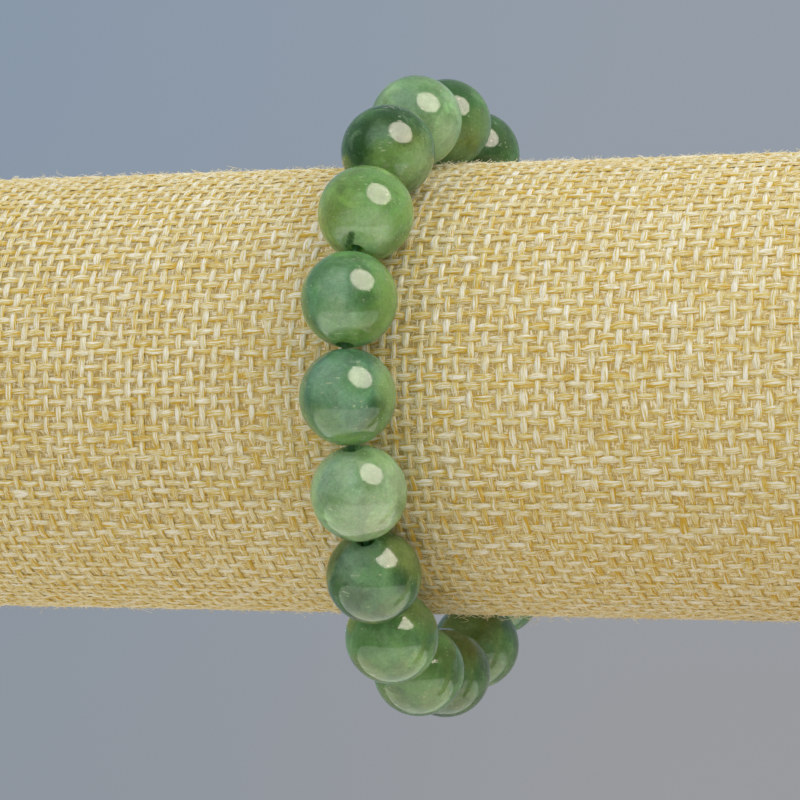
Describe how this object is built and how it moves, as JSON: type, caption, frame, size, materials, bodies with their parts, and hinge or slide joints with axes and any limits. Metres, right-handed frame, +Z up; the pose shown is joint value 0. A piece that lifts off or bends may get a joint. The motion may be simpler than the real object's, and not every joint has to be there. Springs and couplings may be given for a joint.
{
  "type": "beaded stretch bracelet on a burlap covered T-bar display stand",
  "caption": "Loop of round drilled green stone beads on an elastic cord, hung over the burlap covered bar of a plain wooden T-bar display stand with a round base.",
  "frame": {"origin": "centre of the base's underside, where the stand rests", "axes": "+X along the bar to the right as seen from the front, +Y to the back, +Z up"},
  "size_m": [0.26, 0.12, 0.148],
  "materials": {
    "bead_stone": "polished, slightly translucent",
    "elastic_cord": "satin",
    "burlap": "coarse plain weave",
    "wood": "matt lacquer"
  },
  "bodies": {
    "root": {"base": "wood", "post": "wood", "bar_core": "wood", "burlap_wrap": "burlap", "burlap_end_left": "burlap", "burlap_end_right": "burlap", "stretch_cord": "elastic_cord", "bead_01": "bead_stone", "bead_02": "bead_stone", "bead_03": "bead_stone", "bead_04": "bead_stone", "bead_05": "bead_stone", "bead_06": "bead_stone", "bead_07": "bead_stone", "bead_08": "bead_stone", "bead_09": "bead_stone", "bead_10": "bead_stone", "bead_11": "bead_stone", "bead_12": "bead_stone", "bead_13": "bead_stone", "bead_14": "bead_stone", "bead_15": "bead_stone", "bead_16": "bead_stone", "bead_17": "bead_stone", "bead_18": "bead_stone", "bead_19": "bead_stone"}
  },
  "joints": []
}
